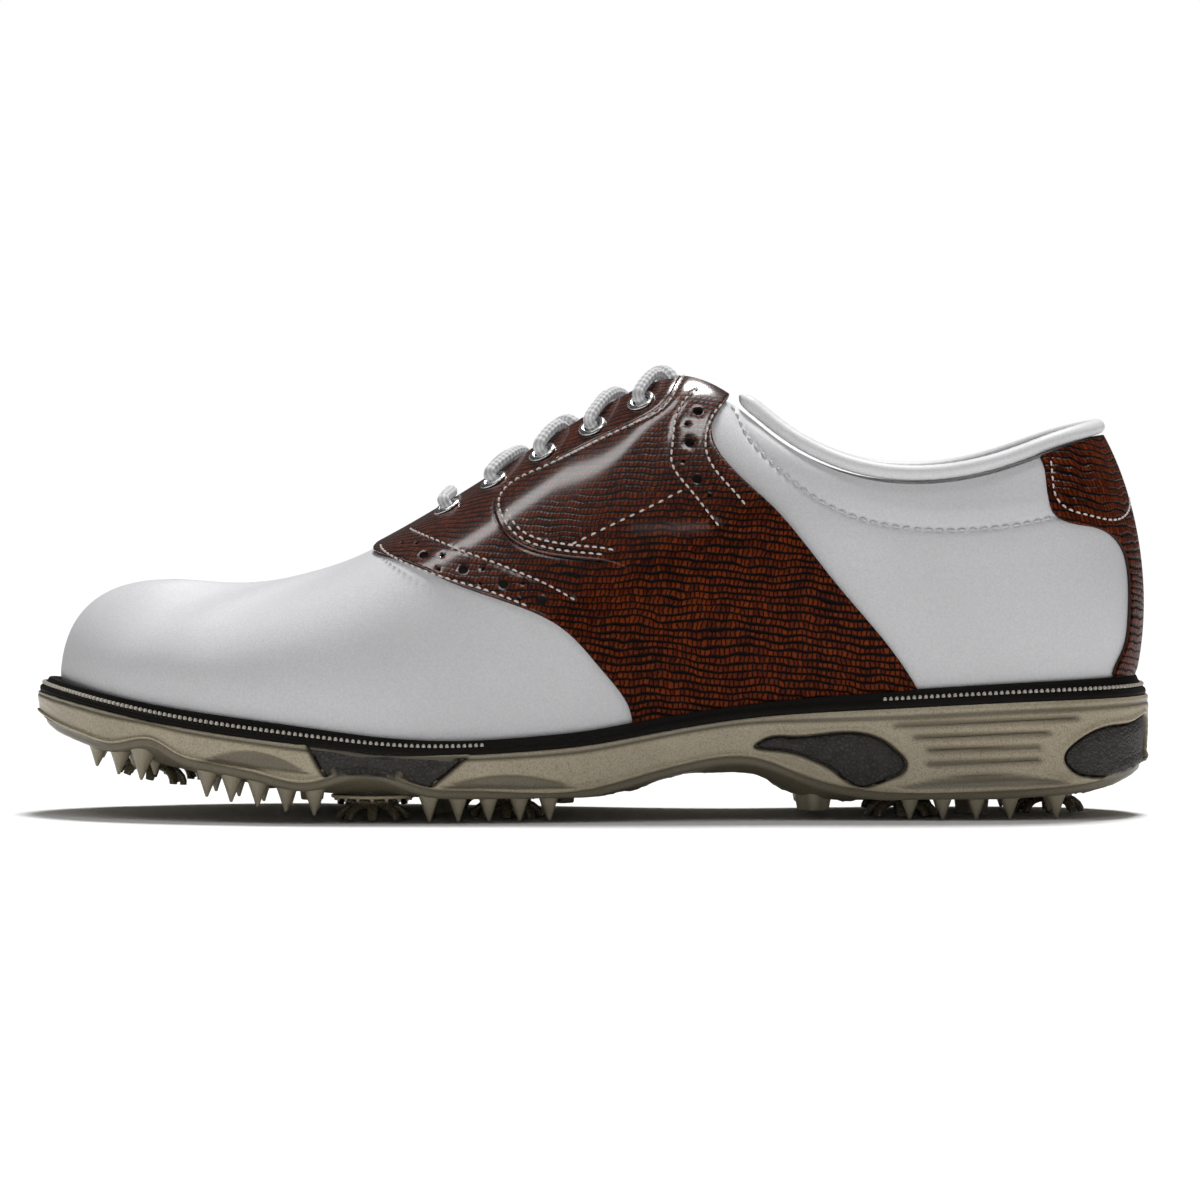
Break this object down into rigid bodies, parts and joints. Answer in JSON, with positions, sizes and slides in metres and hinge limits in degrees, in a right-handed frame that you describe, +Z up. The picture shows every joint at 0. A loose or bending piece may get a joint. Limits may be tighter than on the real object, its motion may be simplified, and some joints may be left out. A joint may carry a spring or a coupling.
{
  "type": "golf shoe",
  "caption": "Laced saddle golf shoe for the left foot, with a welted sole and twist-lock soft cleats.",
  "frame": {"origin": "on the ground, under the middle of the shoe's bounding box", "axes": "+Z up, +X towards the heel, -X towards the toe, -Y towards the outer (lateral) side of the left foot"},
  "size_m": [0.305, 0.1081, 0.1232],
  "materials": {
    "white_leather": "smooth, satin",
    "brown_leather": "lizard-embossed, polished",
    "tongue_leather": "smooth, padded",
    "collar_leather": "soft, satin",
    "lining_fabric": "brushed",
    "foam": "closed-cell foam",
    "stiffener": "matte",
    "cork": "matte",
    "sole_plastic": "translucent, fine grain",
    "inlay_rubber": "pebbled",
    "welt_rubber": "satin",
    "shank_steel": "plain",
    "cleat_plastic": "translucent",
    "receptacle_plastic": "matte",
    "eyelet_metal": "enamelled",
    "lace_cord": "round braid"
  },
  "bodies": {
    "shoe": {"inlay_fore_lateral": "inlay_rubber", "inlay_fore_medial": "inlay_rubber", "inlay_mid_lateral": "inlay_rubber", "inlay_mid_medial": "inlay_rubber", "inlay_heel_lateral": "inlay_rubber", "inlay_heel_medial": "inlay_rubber", "outsole": "sole_plastic", "midsole": "foam", "shank": "shank_steel", "welt": "welt_rubber", "cork_filler": "cork", "insole_board": "cork", "footbed": "lining_fabric", "receptacle_toe_lateral": "receptacle_plastic", "receptacle_toe_medial": "receptacle_plastic", "receptacle_ball_lateral": "receptacle_plastic", "receptacle_ball_medial": "receptacle_plastic", "receptacle_rear_lateral": "receptacle_plastic", "receptacle_rear_medial": "receptacle_plastic", "receptacle_heel_lateral": "receptacle_plastic", "receptacle_heel_medial": "receptacle_plastic", "receptacle_heel_back": "receptacle_plastic", "vamp": "white_leather", "toe_puff": "stiffener", "heel_counter": "stiffener", "vamp_lining": "lining_fabric", "quarter_lining": "lining_fabric", "eyestay_lateral": "brown_leather", "saddle_lateral": "brown_leather", "quarter_lateral": "white_leather", "eyestay_medial": "brown_leather", "saddle_medial": "brown_leather", "quarter_medial": "white_leather", "backstay": "brown_leather", "collar_padding": "foam", "collar_binding": "collar_leather", "eyelet_lateral_1": "eyelet_metal", "eyelet_lateral_2": "eyelet_metal", "eyelet_lateral_3": "eyelet_metal", "eyelet_lateral_4": "eyelet_metal", "eyelet_lateral_5": "eyelet_metal", "eyelet_medial_1": "eyelet_metal", "eyelet_medial_2": "eyelet_metal", "eyelet_medial_3": "eyelet_metal", "eyelet_medial_4": "eyelet_metal", "eyelet_medial_5": "eyelet_metal", "lace": "lace_cord"},
    "tongue_flap": {"tongue": "tongue_leather"},
    "toe_lateral_cleat": {"cleat_toe_lateral": "cleat_plastic"},
    "toe_medial_cleat": {"cleat_toe_medial": "cleat_plastic"},
    "ball_lateral_cleat": {"cleat_ball_lateral": "cleat_plastic"},
    "ball_medial_cleat": {"cleat_ball_medial": "cleat_plastic"},
    "rear_lateral_cleat": {"cleat_rear_lateral": "cleat_plastic"},
    "rear_medial_cleat": {"cleat_rear_medial": "cleat_plastic"},
    "heel_lateral_cleat": {"cleat_heel_lateral": "cleat_plastic"},
    "heel_medial_cleat": {"cleat_heel_medial": "cleat_plastic"},
    "heel_back_cleat": {"cleat_heel_back": "cleat_plastic"}
  },
  "joints": [
    {"name": "tongue_fold", "type": "hinge", "parent": "shoe", "child": "tongue_flap", "pos_m": [-0.056, 0, 0.0645], "axis": [0, 1, 0], "range_deg": [0, 8]},
    {"name": "toe_lateral_twist", "type": "hinge", "parent": "shoe", "child": "toe_lateral_cleat", "pos_m": [-0.119, -0.013, 0.01553], "axis": [0.2057, 0, 0.9786], "range_deg": [0, 60]},
    {"name": "toe_medial_twist", "type": "hinge", "parent": "shoe", "child": "toe_medial_cleat", "pos_m": [-0.116, 0.025, 0.01489], "axis": [0.2102, 0, 0.9777], "range_deg": [0, 60]},
    {"name": "ball_lateral_twist", "type": "hinge", "parent": "shoe", "child": "ball_lateral_cleat", "pos_m": [-0.059, -0.0365, 0.0059], "axis": [0, 0, 1], "range_deg": [0, 60]},
    {"name": "ball_medial_twist", "type": "hinge", "parent": "shoe", "child": "ball_medial_cleat", "pos_m": [-0.061, 0.034, 0.0059], "axis": [0, 0, 1], "range_deg": [0, 60]},
    {"name": "rear_lateral_twist", "type": "hinge", "parent": "shoe", "child": "rear_lateral_cleat", "pos_m": [-0.023, -0.025, 0.0059], "axis": [0, 0, 1], "range_deg": [0, 60]},
    {"name": "rear_medial_twist", "type": "hinge", "parent": "shoe", "child": "rear_medial_cleat", "pos_m": [-0.029, 0.02, 0.0059], "axis": [0, 0, 1], "range_deg": [0, 60]},
    {"name": "heel_lateral_twist", "type": "hinge", "parent": "shoe", "child": "heel_lateral_cleat", "pos_m": [0.084, -0.0185, 0.0059], "axis": [0, 0, 1], "range_deg": [0, 60]},
    {"name": "heel_medial_twist", "type": "hinge", "parent": "shoe", "child": "heel_medial_cleat", "pos_m": [0.084, 0.017, 0.0059], "axis": [0, 0, 1], "range_deg": [0, 60]},
    {"name": "heel_back_twist", "type": "hinge", "parent": "shoe", "child": "heel_back_cleat", "pos_m": [0.125, 0, 0.0059], "axis": [0, 0, 1], "range_deg": [0, 60]}
  ]
}
